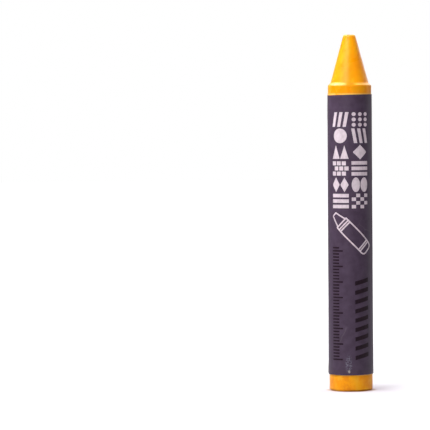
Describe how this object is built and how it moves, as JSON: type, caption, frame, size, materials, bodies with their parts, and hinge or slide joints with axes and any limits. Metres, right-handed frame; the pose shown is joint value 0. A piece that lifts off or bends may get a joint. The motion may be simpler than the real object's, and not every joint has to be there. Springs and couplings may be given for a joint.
{
  "type": "marking crayon",
  "caption": "Round wax marking crayon with a flat-ended cone tip on a narrow shoulder, and a dark lapped paper wrapper between a bare collar and a bare butt.",
  "frame": {"origin": "middle of the flat butt face that the crayon stands on", "axes": "+Z along the stick from the butt to the tip; the front of the wrapper, which carries the print, faces -Y"},
  "size_m": [0.0144, 0.0144, 0.115],
  "materials": {
    "yellow_wax": "satin",
    "wrapper_paper": "satin",
    "dried_paste": "matte",
    "white_ink": "matte",
    "dark_ink": "satin"
  },
  "bodies": {
    "root": {"wax_stick": "yellow_wax", "paper_wrapper": "wrapper_paper", "wrapper_paste": "dried_paste"}
  },
  "joints": []
}
